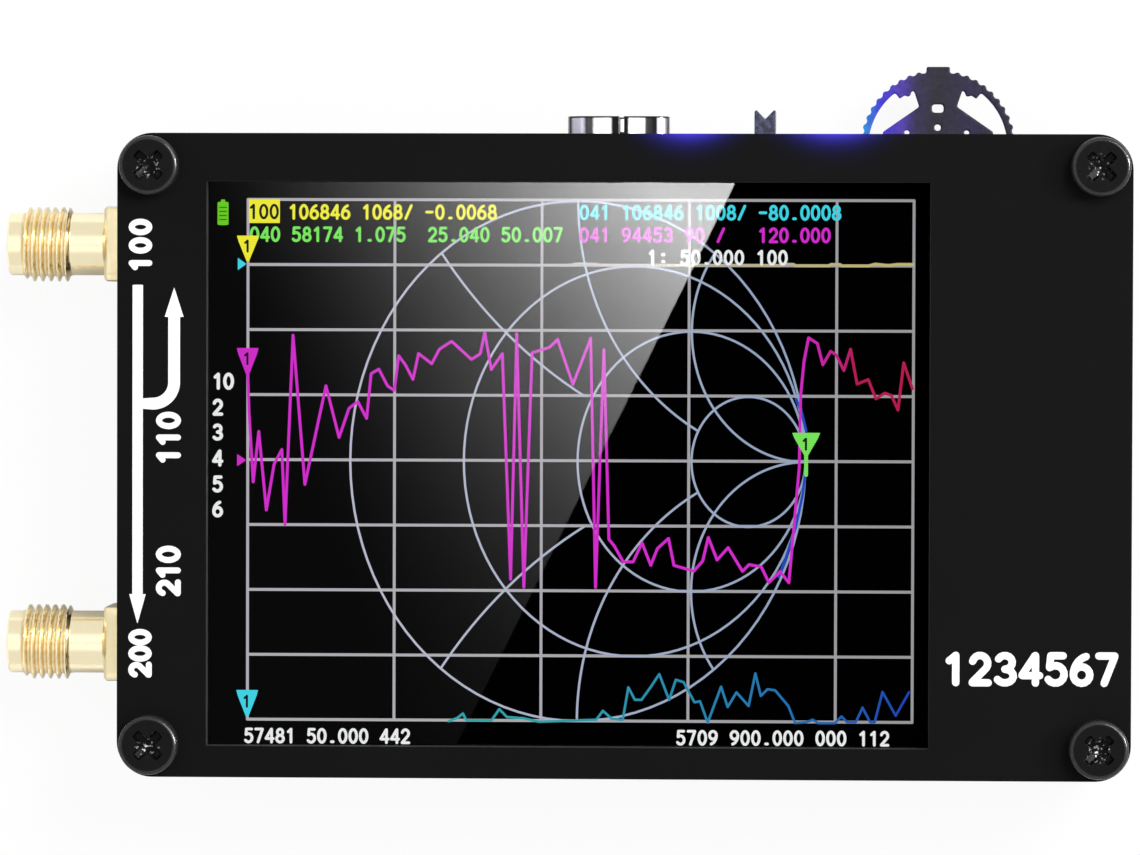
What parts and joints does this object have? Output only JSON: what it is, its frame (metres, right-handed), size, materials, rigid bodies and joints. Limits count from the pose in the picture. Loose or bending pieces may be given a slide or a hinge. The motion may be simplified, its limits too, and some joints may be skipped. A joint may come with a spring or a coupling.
{
  "type": "antenna analyzer",
  "caption": "Pocket antenna analyzer: flat black open-sided case with a lit touch screen, two threaded coaxial ports on the left edge, and a USB socket, power slide and jog lever on top.",
  "frame": {"origin": "middle of the whole part's footprint, on the surface that it lies on, under the four rear screw heads", "axes": "+X right along the face, away from the coaxial ports; +Y up the face, towards the jog lever; +Z out of the screen"},
  "size_m": [0.0952, 0.0604, 0.014],
  "materials": {
    "laminate": "fine matt black solder mask on glass epoxy laminate",
    "black_screw": "black zinc with a bright worn rim",
    "brass_post": "turned, dull",
    "board": "dark solder mask",
    "white_tray": "moulded",
    "clear_guide": "clear acrylic",
    "display_glass": "bonded glass plates",
    "polariser_film": "dark film, lit when on",
    "foam_black": "foam adhesive",
    "touch_glass": "clear with faint reflection",
    "film_amber": "polyimide film",
    "tape_white": "adhesive tape",
    "gold_brass": "gold plated",
    "fluoropolymer": "satin white",
    "bright_steel": "polished",
    "black_plastic": "moulded",
    "plated_steel": "tin plated",
    "knob_plastic": "moulded, lit violet by the lights beside it",
    "slider_plastic": "moulded",
    "led_lens": "lit blue",
    "pouch_foil": "aluminium laminate pouch",
    "lead_red": "insulation",
    "connector_cream": "moulded",
    "ceramic": "chip parts"
  },
  "bodies": {
    "case": {"front_panel": "laminate", "back_panel": "laminate", "front_screws": "black_screw", "rear_screws": "black_screw", "front_standoffs": "brass_post", "rear_standoffs": "brass_post", "main_board": "board", "display_tray": "white_tray", "light_guide": "clear_guide", "display_cell": "display_glass", "polariser": "polariser_film", "touch_adhesive": "foam_black", "touch_panel": "touch_glass", "display_flex": "film_amber", "touch_flex": "film_amber", "display_tape": "tape_white", "port_1_body": "gold_brass", "port_1_dielectric": "fluoropolymer", "port_1_contact": "gold_brass", "port_2_body": "gold_brass", "port_2_dielectric": "fluoropolymer", "port_2_contact": "gold_brass", "usb_shell": "bright_steel", "usb_insert": "black_plastic", "usb_contacts": "gold_brass", "switch_base": "black_plastic", "switch_frame": "plated_steel", "switch_pins": "plated_steel", "jog_base": "black_plastic", "jog_cover": "plated_steel", "jog_contacts": "plated_steel", "status_leds": "led_lens", "battery": "pouch_foil", "battery_tape": "foam_black", "battery_leads": "lead_red", "battery_plug": "connector_cream", "battery_socket": "connector_cream", "port_1_shield": "plated_steel", "port_2_shield": "plated_steel", "processor": "black_plastic", "audio_codec": "black_plastic", "clock_chip": "black_plastic", "crystals": "plated_steel", "mixers": "black_plastic", "charger_chip": "black_plastic", "regulators": "black_plastic", "chip_parts": "ceramic"},
    "knob": {"power_knob": "knob_plastic"},
    "slider": {"jog_slider": "slider_plastic"},
    "lever": {"jog_lever": "knob_plastic"}
  },
  "joints": [
    {"name": "power_slide", "type": "slide", "parent": "case", "child": "knob", "axis": [1, 0, 0], "range_m": [0, 0.002]},
    {"name": "jog_push", "type": "slide", "parent": "case", "child": "slider", "axis": [0, -1, 0], "range_m": [0, 0.0005], "stiffness_N_per_m": 1000},
    {"name": "jog_turn", "type": "hinge", "parent": "slider", "child": "lever", "pos_m": [0.03154, 0.0233, 0.00435], "axis": [0, 0, 1], "range_deg": [-12, 12], "stiffness_Nm_per_rad": 0.012}
  ]
}
